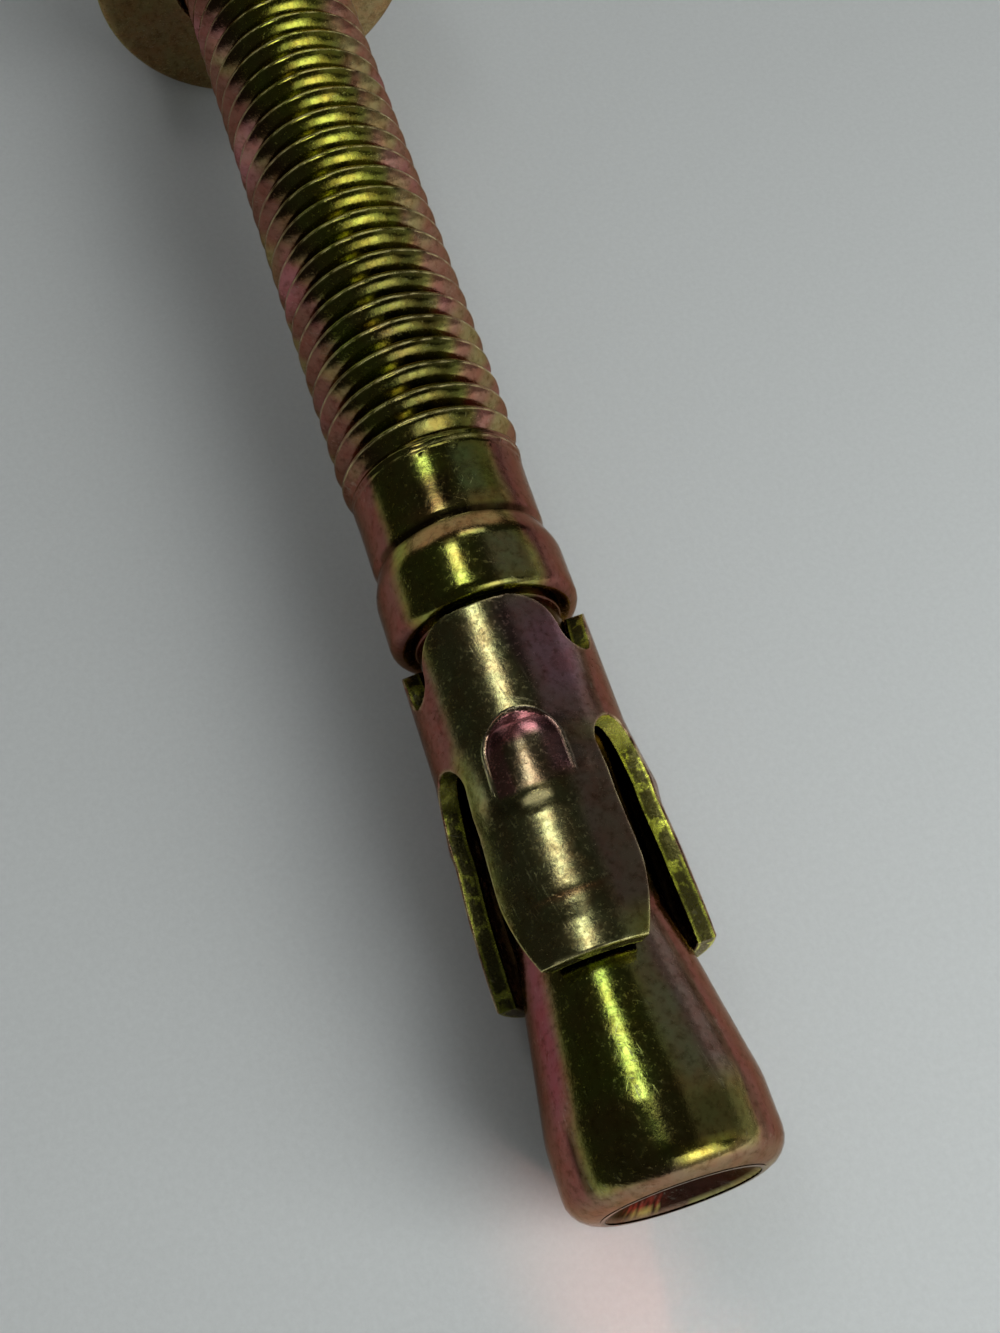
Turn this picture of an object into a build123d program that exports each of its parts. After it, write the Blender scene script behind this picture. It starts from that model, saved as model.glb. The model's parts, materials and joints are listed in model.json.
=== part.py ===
"""Wedge anchor, M10 by 95: a one-piece stud with a threaded end, a collar, a neck and a cone,
an expansion clip bent round the neck, a flat washer and a hexagon nut.

It lies as it comes to rest on a table, on the rim of its washer and the rim of its cone.
Lengths are in millimetres and stations are measured along the stud from its cone end.
"""
import os
from math import asin, atan2, cos, degrees, hypot, radians, sin, tan

from build123d import *

# Stud: overall length and thread
anchor_length = 95.0
thread_diameter = 9.8
thread_pitch = 1.5
thread_depth_share = 0.613
nut_to_thread_end = 7.9

# Stud: cone with a rounded rim and a dished end face
cone_diameter = 10.2
cone_land = 2.4
cone_shoulder_length = 3.0
cone_length = 12.3
cone_rim_radius = 1.2
dish_border = 0.2
dish_depth = 1.1
dish_side_width = 1.2

# Stud: neck, collar and the plain section under the thread
neck_diameter = 7.5
neck_length = 16.25
collar_diameter = 9.9
collar_length = 4.55
collar_corner = 0.5
collar_ramp_length = 1.3
plain_diameter = 9.2
plain_length = 3.9
groove_depth = 0.14
groove_width = 0.5

# Expansion clip: sheet, upper band and seam
sheet_thickness = 1.0
neck_clearance = 0.1
shoulder_gap = 0.45
clip_length = 17.7
clip_turn = -12.0
finger_count = 3
seam_width = 0.6

# Expansion clip: notches in the top edge and slots between the fingers
notch_depth = 3.1
notch_width = 2.2
panel_corner_radius = 1.6
slot_length = 10.9
slot_width = 3.3

# Expansion clip: how far each bend of a finger lies from its tip, and how far it stands out
bend_root_height = 11.2
crease_height = 8.0
crease_lift = 0.47
waist_height = 6.6
waist_lift = 0.31
barrel_height = 4.4
barrel_lift = 0.43
tip_lift = 0.52
bend_radius = 0.9
tip_width = 5.0
tip_taper_length = 4.0
tip_taper_bulge = 0.2

# Expansion clip: arch pressed into each finger
arch_width = 3.8
arch_height = 3.9
arch_depth = 0.42
arch_end_depth = 0.15

# Washer
washer_diameter = 20.0
washer_hole_clearance = 0.35
washer_thickness = 2.0
washer_rim_chamfer = 0.35

# Nut
nut_across_flats = 17.0
nut_height = 8.0
nut_chamfer_angle = 30.0
nut_face_share = 0.95
nut_turn = 8.0
nut_countersink = 0.5
nut_running_clearance = 0.05
nut_seat_gap = 0.05
hexagon_half_angle = 30.0

# How close a found edge has to lie to the place that it is looked for in
match_tolerance = 0.01

# Stations along the stud
neck_start = cone_length
shoulder_station = neck_start + neck_length
collar_end = shoulder_station + collar_length
thread_start = collar_end + plain_length
nut_back = anchor_length - nut_to_thread_end
nut_front = nut_back - nut_height
washer_back = nut_front - nut_seat_gap
washer_front = washer_back - washer_thickness
clip_top = shoulder_station - shoulder_gap
clip_tip = clip_top - clip_length

# Radii
thread_radius = thread_diameter / 2
thread_root_radius = thread_radius - thread_depth_share * thread_pitch
plain_radius = plain_diameter / 2
collar_radius = collar_diameter / 2
neck_radius = neck_diameter / 2
cone_radius = cone_diameter / 2
washer_radius = washer_diameter / 2
washer_hole_radius = thread_radius + washer_hole_clearance
dish_radius = cone_radius - cone_rim_radius - dish_border
clip_inner_radius = neck_radius + neck_clearance
clip_outer_radius = clip_inner_radius + sheet_thickness
clip_middle_radius = clip_inner_radius + sheet_thickness / 2

# The tilt at which the washer's front rim and the cone's round rim touch the table together
rim_span = (washer_front + washer_rim_chamfer) - cone_rim_radius
rim_rise = washer_radius - (cone_radius - cone_rim_radius)
tilt = atan2(rim_rise, rim_span) - asin(cone_rim_radius / hypot(rim_span, rim_rise))
axis_height = cone_rim_radius + (cone_radius - cone_rim_radius) * cos(tilt) - cone_rim_radius * sin(tilt)
cone_reach = cone_rim_radius * cos(tilt) - (cone_radius - cone_rim_radius) * sin(tilt) - cone_rim_radius
thread_reach = anchor_length * cos(tilt) + thread_root_radius * sin(tilt)
start_y = -(cone_reach + thread_reach) / 2

# The stud's own frame: X points up, Y to the right and Z along the stud towards its thread end
stud_frame = Plane(
    origin=(0, start_y, axis_height),
    x_dir=(0, -sin(tilt), cos(tilt)),
    z_dir=(0, cos(tilt), sin(tilt)),
)
stud_axis = Axis(stud_frame.origin, stud_frame.z_dir)


def outwards(angle):
    """Direction away from the stud's axis, at an angle turned from up towards the right."""
    return stud_frame.x_dir * cos(radians(angle)) + stud_frame.y_dir * sin(radians(angle))


def section_plane(angle):
    """Plane through the stud's axis: X runs outwards at the angle and Y is the station."""
    direction = outwards(angle)
    return Plane(stud_frame.origin, x_dir=direction, z_dir=direction.cross(stud_frame.z_dir))


def facing_plane(angle, station):
    """Plane on the stud's axis that looks outwards: X runs round the stud and Y along it."""
    direction = outwards(angle)
    origin = stud_frame.origin + stud_frame.z_dir * station
    return Plane(origin, x_dir=stud_frame.z_dir.cross(direction), z_dir=direction)


def cross_plane(station):
    """Plane square to the stud at a station, which looks towards the thread end."""
    return stud_frame.offset(station)


def station_of(point):
    """Station of a point along the stud."""
    return (point - stud_frame.origin).dot(stud_frame.z_dir)


def points_outwards(edge):
    """True for a straight edge that runs straight away from the stud's axis."""
    if edge.geom_type != GeomType.LINE:
        return False
    return abs((edge @ 0 - edge @ 1).normalized().dot(stud_frame.z_dir)) < match_tolerance


# Stud: one profile turned about the stud's axis
cone_slope = (cone_radius - neck_radius) / (cone_length - cone_land - cone_shoulder_length / 2)
shoulder_drop = cone_slope * cone_shoulder_length / 2
with BuildPart() as stud:
    with BuildSketch(section_plane(0)):
        with BuildLine():
            Polyline(
                (0, dish_depth),
                (dish_radius - dish_side_width, dish_depth),
                (dish_radius, 0),
                (cone_radius - cone_rim_radius, 0),
            )
            RadiusArc(
                (cone_radius - cone_rim_radius, 0),
                (cone_radius, cone_rim_radius),
                -cone_rim_radius,
            )
            Line((cone_radius, cone_rim_radius), (cone_radius, cone_land))
            cone_bend = TangentArc(
                (cone_radius, cone_land),
                (cone_radius - shoulder_drop, cone_land + cone_shoulder_length),
                tangent=(0, 1),
            )
            Polyline(
                cone_bend @ 1,
                (neck_radius, neck_start),
                (neck_radius, shoulder_station),
                (collar_radius - collar_corner, shoulder_station),
                (collar_radius, shoulder_station + collar_corner),
                (collar_radius, collar_end - collar_ramp_length),
                (plain_radius - groove_depth, collar_end),
                (plain_radius, collar_end + groove_width),
                (plain_radius, thread_start),
                (thread_radius, thread_start + (thread_radius - plain_radius)),
                (thread_radius, anchor_length - (thread_radius - thread_root_radius)),
                (thread_root_radius, anchor_length),
                (0, anchor_length),
                (0, dish_depth),
            )
        make_face()
    revolve(axis=stud_axis)
stud.part.label = "stud"

# Expansion clip: angles and stations of what is cut out of the sheet
seam_angle = degrees(seam_width / clip_middle_radius)
finger_pitch = 360 / finger_count
finger_angles = [clip_turn + finger_pitch * number for number in range(finger_count)]
gap_angles = [angle + finger_pitch / 2 for angle in finger_angles]
seam_turn = gap_angles[finger_count // 2]
slot_half_angle = degrees(asin(slot_width / 2 / clip_outer_radius))
notch_half_angle = degrees(asin(notch_width / 2 / clip_outer_radius))
slot_top = clip_tip + slot_length
slot_arc_station = slot_top - slot_width / 2
notch_arc_station = clip_top - notch_depth + notch_width / 2
reach = clip_outer_radius + 2 * sheet_thickness
arch_base = clip_tip + crease_height
arch_top = arch_base + arch_height
finger_half_angle = finger_pitch / 2 - slot_half_angle
finger_half_width = (clip_outer_radius + tip_lift) * sin(radians(finger_half_angle))


def arch_recess(angle):
    """Space of the arch that is pressed into the finger at an angle, over a floor that ramps out."""
    with BuildPart() as recess:
        with BuildSketch(facing_plane(angle, 0)):
            with Locations((0, arch_top - arch_width / 2)):
                Circle(arch_width / 2)
            with Locations((0, arch_base)):
                Rectangle(arch_width, arch_height - arch_width / 2, align=(Align.CENTER, Align.MIN))
        extrude(amount=reach)
        with BuildSketch(section_plane(angle - finger_half_angle)):
            with BuildLine():
                Polyline(
                    (clip_outer_radius - arch_depth, arch_top),
                    (clip_outer_radius + crease_lift - arch_end_depth, arch_base),
                    (reach, arch_base),
                    (reach, arch_top),
                    close=True,
                )
            make_face()
        revolve(axis=stud_axis, revolution_arc=2 * finger_half_angle, mode=Mode.INTERSECT)
    return recess.part


def tip_trim(angle):
    """Space beside the tip of the finger at an angle, where its sides curve in."""
    with BuildPart() as trim:
        with BuildSketch(facing_plane(angle, clip_tip)):
            with BuildLine():
                ThreePointArc(
                    (tip_width / 2, 0),
                    ((tip_width / 2 + finger_half_width) / 2 + tip_taper_bulge, tip_taper_length / 2),
                    (finger_half_width, tip_taper_length),
                )
                Polyline(
                    (finger_half_width, tip_taper_length),
                    (reach, tip_taper_length),
                    (reach, -sheet_thickness),
                    (tip_width / 2, -sheet_thickness),
                    (tip_width / 2, 0),
                )
            make_face()
            mirror(about=Plane.YZ)
        extrude(amount=reach)
    return trim.part


# Expansion clip: the sheet's section turned about the axis, open at its seam, then cut
pressed_and_trimmed = [shape(angle) for angle in finger_angles for shape in (arch_recess, tip_trim)]
with BuildPart() as expansion_clip:
    with BuildSketch(section_plane(seam_turn + seam_angle / 2)):
        with BuildLine():
            FilletPolyline(
                (clip_middle_radius, clip_top),
                (clip_middle_radius, clip_tip + bend_root_height),
                (clip_middle_radius + crease_lift, clip_tip + crease_height),
                (clip_middle_radius + waist_lift, clip_tip + waist_height),
                (clip_middle_radius + barrel_lift, clip_tip + barrel_height),
                (clip_middle_radius + tip_lift, clip_tip),
                radius=bend_radius,
            )
        trace(line_width=sheet_thickness)
    revolve(axis=stud_axis, revolution_arc=360 - seam_angle)
    for gap_angle in gap_angles:
        with BuildSketch(section_plane(gap_angle - slot_half_angle)):
            with Locations((0, clip_tip - sheet_thickness)):
                Rectangle(reach, slot_arc_station - clip_tip + sheet_thickness, align=Align.MIN)
        revolve(axis=stud_axis, revolution_arc=2 * slot_half_angle, mode=Mode.SUBTRACT)
        with BuildSketch(section_plane(gap_angle - notch_half_angle)):
            with Locations((0, notch_arc_station)):
                Rectangle(reach, clip_top - notch_arc_station + sheet_thickness, align=Align.MIN)
        revolve(axis=stud_axis, revolution_arc=2 * notch_half_angle, mode=Mode.SUBTRACT)
        with Locations(facing_plane(gap_angle, slot_arc_station).location):
            Cone(
                bottom_radius=0,
                top_radius=reach * tan(radians(slot_half_angle)),
                height=reach,
                align=(Align.CENTER, Align.CENTER, Align.MIN),
                mode=Mode.SUBTRACT,
            )
        with Locations(facing_plane(gap_angle, notch_arc_station).location):
            Cone(
                bottom_radius=0,
                top_radius=reach * tan(radians(notch_half_angle)),
                height=reach,
                align=(Align.CENTER, Align.CENTER, Align.MIN),
                mode=Mode.SUBTRACT,
            )
    panel_corners = expansion_clip.edges().filter_by(
        lambda edge: points_outwards(edge) and abs(station_of(edge @ 0.5) - clip_top) < match_tolerance
    )
    fillet(panel_corners, panel_corner_radius)
    add(pressed_and_trimmed, mode=Mode.SUBTRACT)
expansion_clip.part.label = "expansion_clip"

# Washer: a flat disc with chamfered rims
with BuildPart() as washer:
    with BuildSketch(cross_plane(washer_front)):
        Circle(washer_radius)
        Circle(washer_hole_radius, mode=Mode.SUBTRACT)
    extrude(amount=washer_thickness)
    chamfer(washer.edges().filter_by(GeomType.CIRCLE).group_by(SortBy.RADIUS)[-1], washer_rim_chamfer)
washer.part.label = "washer"

# Nut: a hexagon whose corners are cut by a cone at both faces, and its countersunk bore
nut_corner_radius = nut_across_flats / 2 / cos(radians(hexagon_half_angle))
nut_face_radius = nut_across_flats / 2 * nut_face_share
nut_chamfer_height = (nut_corner_radius - nut_face_radius) * tan(radians(nut_chamfer_angle))
nut_bore_radius = thread_radius + nut_running_clearance
with BuildPart() as nut:
    with BuildSketch(cross_plane(nut_front)):
        RegularPolygon(nut_across_flats / 2, 6, major_radius=False, rotation=nut_turn)
    extrude(amount=nut_height)
    with BuildSketch(section_plane(0)):
        with BuildLine():
            Polyline(
                (0, nut_front),
                (nut_face_radius, nut_front),
                (nut_corner_radius, nut_front + nut_chamfer_height),
                (nut_corner_radius, nut_back - nut_chamfer_height),
                (nut_face_radius, nut_back),
                (0, nut_back),
                close=True,
            )
        make_face()
    revolve(axis=stud_axis, mode=Mode.INTERSECT)
    with BuildSketch(cross_plane(nut_front)):
        Circle(nut_bore_radius)
    extrude(amount=nut_height, mode=Mode.SUBTRACT)
    chamfer(nut.edges().filter_by(GeomType.CIRCLE).group_by(SortBy.RADIUS)[0], nut_countersink)
nut.part.label = "nut"

os.makedirs("parts", exist_ok=True)
export_step(stud.part, "parts/stud.step")
export_step(expansion_clip.part, "parts/expansion_clip.step")
export_step(washer.part, "parts/washer.step")
export_step(nut.part, "parts/nut.step")
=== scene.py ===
"""Looks of the wedge anchor: its rolled thread, pressed clip and yellow zinc plating.

The four CAD pieces are the frame. Each is shown by a finer mesh of the same form,
which lies in the same place and rides on the same body.
Lengths are in millimetres, as in the CAD, and turn into metres where a mesh is made.
Stations are measured along the stud from its cone end, and angles from up towards the right.
"""
import json
from math import asin, cos, pi, radians, sin, tan

import bpy
import numpy as np
from mathutils import Euler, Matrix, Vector


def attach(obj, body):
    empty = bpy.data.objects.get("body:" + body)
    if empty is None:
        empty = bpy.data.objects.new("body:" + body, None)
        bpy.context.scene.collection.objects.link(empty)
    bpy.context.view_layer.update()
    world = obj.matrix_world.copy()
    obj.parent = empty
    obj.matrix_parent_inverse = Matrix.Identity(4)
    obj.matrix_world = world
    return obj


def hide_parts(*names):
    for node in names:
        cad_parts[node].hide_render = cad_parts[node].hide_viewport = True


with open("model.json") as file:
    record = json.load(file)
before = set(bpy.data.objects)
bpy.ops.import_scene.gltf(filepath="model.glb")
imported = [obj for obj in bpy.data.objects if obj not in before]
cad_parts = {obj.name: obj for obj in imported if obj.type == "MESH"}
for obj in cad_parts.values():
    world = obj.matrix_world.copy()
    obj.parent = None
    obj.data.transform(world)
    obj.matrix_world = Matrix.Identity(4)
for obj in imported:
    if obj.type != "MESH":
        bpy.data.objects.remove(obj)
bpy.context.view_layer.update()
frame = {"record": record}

MM = 0.001

# Stud
anchor_length = 95.0
thread_diameter = 9.8
thread_pitch = 1.5
thread_depth = 0.78
thread_fullness = 1.7
thread_phase = -0.39
thread_run_in = 1.9
first_ridge_pitch = 0.43
first_ridge_height = 0.045
thread_end_chamfer = 0.92
cone_diameter = 10.2
cone_land = 3.9
cone_length = 12.3
cone_rim_radius = 1.5
dish_diameter = 7.4
dish_floor_diameter = 5.0
dish_depth = 1.1
end_skew = 0.5
stud_dents = 0.05
collar_wander = 0.05
neck_diameter = 7.5
shoulder_station = 28.55
collar_diameter = 9.9
collar_end = 33.1
collar_ramp_length = 1.3
plain_diameter = 9.2
thread_start = 37.0
groove_depth = 0.14
groove_width = 0.5

# Expansion clip, with heights measured from the tip of its fingers
clip_tip = 10.4
clip_length = 17.7
clip_turn = -12.0
finger_count = 3
sheet_thickness = 1.0
band_radius = 4.35
slot_length = 10.9
slot_width = 3.3
notch_depth = 3.1
notch_width = 2.4
notch_flare = 0.3
panel_corner_radius = 1.6
panel_edge_round = 0.09
panel_dents = 0.012
seam_width = 0.6
least_gap = 0.001
tip_width = 5.0
tip_taper_length = 4.0
tip_taper_bulge = 0.2
crease_bends = (
    (11.2, 0.0, 1.2),
    (8.0, 0.48, 0.4),
    (6.7, 0.30, 0.6),
    (4.7, 0.44, 1.0),
    (2.95, 0.46, 0.05),
    (2.8, 0.42, 0.05),
    (2.6, 0.45, 0.1),
    (2.1, 0.42, 0.2),
    (1.5, 0.38, 0.3),
    (0.9, 0.44, 0.3),
)
edge_bends = ((11.2, 0.0, 3.0), (7.9, 0.3, 0.8), (6.9, 0.27, 0.8), (4.2, 0.43, 3.0))
tip_lift = 0.5
crease_half_width = 1.9
edge_half_width = 3.2
arch_width = 3.8
arch_base = 8.0
arch_height = 3.9
arch_depth = 0.14
arch_rise = 0.22
arch_edge_width = 0.12
bump_height = 7.42
bump_sideways = -0.15
bump_half_height = 0.3
bump_half_width = 0.75

# Washer and nut
washer_front = 77.05
washer_thickness = 2.0
washer_diameter = 20.0
washer_hole_diameter = 10.5
nut_front = 79.1
nut_height = 8.0
nut_across_flats = 17.0
nut_turn = 8.0
nut_face_share = 0.95
nut_chamfer_angle = 30.0
nut_corner_round = 0.25
nut_rim_round = 0.12
nut_bore_clearance = 0.12
nut_thread_depth = 0.75
nut_mouth_widening = 0.25

# Where the photo looks from, in degrees to the left of up
facing_turn = 10.0

# Sheet of paper below
floor_width = 8000.0

# The stud's own axes, from the mount at its thread end
mounts = {mount["name"]: mount for mount in frame["record"]["mounts"]}
along = np.array(mounts["thread_end"]["axis"])
right = np.array((1.0, 0.0, 0.0))
up = np.cross(right, along)
cone_end = np.array(mounts["thread_end"]["pos_m"]) / MM - anchor_length * along


def place(radius, angle, station):
    """Points in millimetres at a radius, an angle in radians and a station, as an array of rows."""
    radius, angle, station = np.broadcast_arrays(radius, angle, station)
    outwards = np.cos(angle)[..., None] * up + np.sin(angle)[..., None] * right
    return cone_end + station[..., None] * along + radius[..., None] * outwards


def unplace(points):
    """Radius, angle in radians and station of points in millimetres."""
    away = points - cone_end
    station = away @ along
    return np.hypot(away @ up, away @ right), np.arctan2(away @ right, away @ up), station


def ripple(seed, angle, station, turns, wave):
    """Smooth unevenness from -1 to 1: a seed, its most waves a turn and its shortest wave."""
    random = np.random.default_rng(seed)
    total = 0.0
    for _ in range(7):
        count = random.integers(1, turns + 1)
        pace = random.uniform(-1, 1) * 2 * pi / wave
        total = total + np.sin(count * angle + pace * station + random.uniform(0, 2 * pi))
    return total / 7


def smooth(low, high, value):
    """Smooth step from 0 at low to 1 at high."""
    share = np.clip((value - low) / (high - low), 0, 1)
    return share * share * (3 - 2 * share)


def rounded_line(corners, step=0.4, turns=7):
    """Points along a line through corners, each (x, y, rounding radius), with its bends as arcs."""
    points = [np.array(corners[0][:2], float)]
    for before, corner, after in zip(corners, corners[1:], corners[2:]):
        place_2d = np.array(corner[:2], float)
        arriving = place_2d - np.array(before[:2], float)
        leaving = np.array(after[:2], float) - place_2d
        arriving /= np.linalg.norm(arriving)
        leaving /= np.linalg.norm(leaving)
        bend = np.arccos(np.clip(arriving @ leaving, -1, 1))
        inwards = leaving - (leaving @ arriving) * arriving
        inwards /= np.linalg.norm(inwards)
        start = place_2d - arriving * corner[2] * tan(bend / 2)
        for turn in np.linspace(0, bend, turns if corner[2] else 1):
            points.append(start + corner[2] * (sin(turn) * arriving + (1 - cos(turn)) * inwards))
    points.append(np.array(corners[-1][:2], float))
    dense = [points[0]]
    for first, second in zip(points, points[1:]):
        count = max(1, int(np.ceil(np.linalg.norm(second - first) / step)))
        dense += [first + (second - first) * number / count for number in range(1, count + 1)]
    return np.array(dense)


def grid_faces(rows, columns, wrap=False, offset=0):
    """Quads of a grid of points that is stored row by row."""
    last_column = columns if wrap else columns - 1
    row, column = np.meshgrid(np.arange(rows - 1), np.arange(last_column), indexing="ij")
    after = (column + 1) % columns
    this_row, next_row = row * columns, (row + 1) * columns
    corners = (this_row + column, this_row + after, next_row + after, next_row + column)
    return np.stack(corners, -1).reshape(-1, 4) + offset


def spiral_seam(rows, columns, steps, offset):
    """Quads that join the last column of a spiral grid to its first, a turn further on."""
    row = np.arange(rows - 1 - steps)
    last = row * columns + columns - 1
    joined = (row + steps) * columns
    return np.stack((last, joined, joined + columns, last + columns), -1) + offset


def solid(name, points, faces, sharp_degrees, marks=None, second_material=None):
    """Mesh object from points in millimetres, joined where they meet.

    Empty faces and the points that no face uses are dropped. Marks are numbers kept for each
    point. Second_material is true for each face that has it.
    """
    keys = np.round(points / 0.0005).astype(np.int64)
    _, first, inverse = np.unique(keys, axis=0, return_index=True, return_inverse=True)
    inverse = inverse.reshape(-1)
    kept, second = [], []
    for number, face in enumerate(inverse[faces].tolist()):
        ring = [corner for spot, corner in enumerate(face) if corner != face[spot - 1]]
        if len(set(ring)) > 2:
            kept.append(ring)
            second.append(number)
    used = np.zeros(len(first), bool)
    used[np.concatenate(kept)] = True
    renumbered = (np.cumsum(used) - 1).tolist()
    kept = [[renumbered[corner] for corner in ring] for ring in kept]
    first = first[used]
    mesh = bpy.data.meshes.new(name)
    mesh.from_pydata((points[first] * MM).tolist(), [], kept)
    if second_material is not None:
        mesh.polygons.foreach_set("material_index", second_material[second].astype(np.int32))
    for mark, values in (marks or {}).items():
        layer = mesh.attributes.new(mark, "FLOAT", "POINT")
        layer.data.foreach_set("value", values[first].astype(np.float32))
    mesh.shade_smooth()
    mesh.set_sharp_from_angle(angle=radians(sharp_degrees))
    piece = bpy.data.objects.new(name, mesh)
    bpy.context.scene.collection.objects.link(piece)
    return piece


def shank_points(columns):
    """Rows of points of the stud from the middle of its dish to the start of its thread."""
    cone_radius, neck_radius = cone_diameter / 2, neck_diameter / 2
    collar_radius, plain_radius = collar_diameter / 2, plain_diameter / 2
    profile = rounded_line((
        (dish_depth, 0, 0),
        (dish_depth, dish_floor_diameter / 2, 0.5),
        (0, dish_diameter / 2, 0.3),
        (0, cone_radius, cone_rim_radius),
        (cone_land, cone_radius, 6.0),
        (cone_length, neck_radius, 0.3),
        (shoulder_station, neck_radius, 0.15),
        (shoulder_station, collar_radius, 0.7),
        (collar_end - collar_ramp_length, collar_radius, 2.4),
        (collar_end, plain_radius - groove_depth, 0.1),
        (collar_end + groove_width, plain_radius, 0.4),
        (thread_start, plain_radius, 0),
    ))
    angle = np.linspace(0, 2 * pi, columns, endpoint=False)[None, :]
    station, radius = profile[:, :1], profile[:, 1:]
    uneven = smooth(0, 1, radius) * (1 - smooth(thread_start - 1, thread_start, station))
    dents = 0.5 * (1 + ripple(3, angle, station, 5, 6.0))
    radius = radius - stud_dents * uneven * dents
    wander = collar_wander * ripple(5, angle, 0 * station, 7, 1.0)
    near_collar = np.exp(-((station - (collar_end + shoulder_station) / 2) / 2.4) ** 4)
    leaning = 1 + radius / cone_radius * np.cos(angle + radians(facing_turn))
    out_of_square = end_skew * leaning / 2 * np.clip(1 - station / cone_length, 0, 1) ** 3
    return place(radius, angle, station + wander * near_collar + out_of_square)


def thread_points(columns, steps):
    """Rows of points of the rolled thread, and how much of each is painted pale on the crests, as
    wear and painted highlight.

    Each column starts later by its share of the pitch. The rows lie closer together at the crests,
    which are uneven and have the fine fold that rolling leaves in their middle.
    """
    turns = (anchor_length - thread_start) / thread_pitch
    number = np.arange(-steps, int(np.ceil(turns)) * steps + 1)[:, None]
    share = (number / steps) % 1.0
    clustered = share + 0.5 * np.sin(2 * pi * share) / (2 * pi)
    column = np.arange(columns)[None, :] / columns
    angle = 2 * pi * column
    turned = np.floor(number / steps) + clustered + column
    station = thread_start + thread_phase + thread_pitch * turned
    from_crest = clustered - 0.5
    height = 1 - (2 * np.abs(from_crest)) ** thread_fullness
    crest = np.exp(-(from_crest / 0.07) ** 4)
    burr = ripple(11, angle, station, 60, 0.8) + ripple(12, angle, station, 23, 1.7)
    fold = np.exp(-((from_crest - 0.01 * burr) / 0.018) ** 2)
    height = height - crest * (0.04 * (1 + burr) / 2) - fold * (0.03 + 0.03 * burr)
    root_radius = thread_diameter / 2 - thread_depth
    radius = root_radius + thread_depth * np.clip(height, 0, 1)
    station = station + 0.05 * crest * burr
    run_in = smooth(0.1, thread_run_in, station - thread_start)
    plain_radius = plain_diameter / 2
    first_ridges = np.sin(2 * pi * (station + 0.1 * burr) / first_ridge_pitch)
    first_ridges = first_ridges * np.exp(-((station - thread_start - 0.75) / 0.6) ** 2)
    radius = plain_radius + (radius - plain_radius) * run_in
    radius = radius + first_ridge_height * first_ridges * (1 - run_in)
    end_radius = thread_diameter / 2 - thread_end_chamfer
    radius = np.minimum(radius, end_radius + np.clip(anchor_length - station, 0, thread_diameter))
    station = np.clip(station, thread_start, anchor_length)
    radius = np.where(station <= thread_start, plain_radius, radius)
    broken = ripple(13, angle, station, 90, 0.5) + ripple(14, angle, station, 31, 2.3)
    # Pale crest lines, broken up: wear and painted highlight
    wear_and_highlight = np.exp(-(from_crest / 0.035) ** 2) * np.clip(0.6 + 0.9 * broken, 0, 1)
    return place(radius, angle, station), wear_and_highlight * smooth(0, 0.8, station - thread_start)


def make_stud():
    """One piece: dish, cone, neck, collar and plain part, then the thread and its end face."""
    columns, steps = 112, 18
    shank = shank_points(columns)
    thread, wear_and_highlight = thread_points(columns, steps)
    end_radius = np.array((thread_diameter / 2 - thread_end_chamfer, 0.0))
    angle = np.linspace(0, 2 * pi, columns, endpoint=False)
    end_face = place(end_radius[:, None], angle, anchor_length)
    rows = len(thread)
    start = len(shank) * columns
    faces = (
        grid_faces(len(shank), columns, wrap=True),
        grid_faces(rows, columns, offset=start),
        spiral_seam(rows, columns, steps, start),
        grid_faces(2, columns, wrap=True, offset=start + rows * columns),
    )
    points = [part.reshape(-1, 3) for part in (shank, thread, end_face)]
    wear_and_highlight = np.concatenate((np.zeros(start), wear_and_highlight.ravel(), np.zeros(2 * columns)))
    return solid("stud_body", np.concatenate(points), np.concatenate(faces), 70, {"wear_and_highlight": wear_and_highlight})


def half_circle(distance, width):
    """Half of the opening at a distance into the round end of a slot with this width."""
    return width / 2 * np.sqrt(np.clip(1 - (np.clip(distance, 0, None) / (width / 2)) ** 2, 0, 1))


def half_gap(height, seam):
    """Half of the opening between two panels of the clip, in millimetres round its outside."""
    slot_arc = slot_length - slot_width / 2
    notch_arc = clip_length - notch_depth + notch_width / 2
    corner_start = clip_length - panel_corner_radius
    closed = seam_width / 2 if seam else 0.0
    in_slot = half_circle(height - slot_arc, slot_width)
    widening = notch_flare * np.clip(height - notch_arc, 0, None)
    in_notch = widening + half_circle(notch_arc - height, notch_width)
    into_corner = np.clip(height - corner_start, 0, panel_corner_radius)
    corner = panel_corner_radius - np.sqrt(panel_corner_radius**2 - into_corner**2)
    return np.maximum(np.maximum(in_slot, in_notch), closed) + corner


def panel_half_angle(height, lift, seam):
    """Half of a panel's width, in radians round the stud."""
    outside = band_radius + sheet_thickness / 2
    straight = pi / finger_count - np.arcsin(half_gap(height, seam) / outside)
    full_width = (outside + tip_lift) * sin(pi / finger_count - asin(slot_width / 2 / outside))
    share = np.clip(height / tip_taper_length, 0, 1)
    width = tip_width / 2 + (full_width - tip_width / 2) * share
    width = width + 4 * tip_taper_bulge * share * (1 - share)
    tapered = np.arcsin(np.clip(width / (outside + lift), -1, 1))
    return np.where(height < tip_taper_length, np.minimum(straight, tapered), straight)


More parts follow.
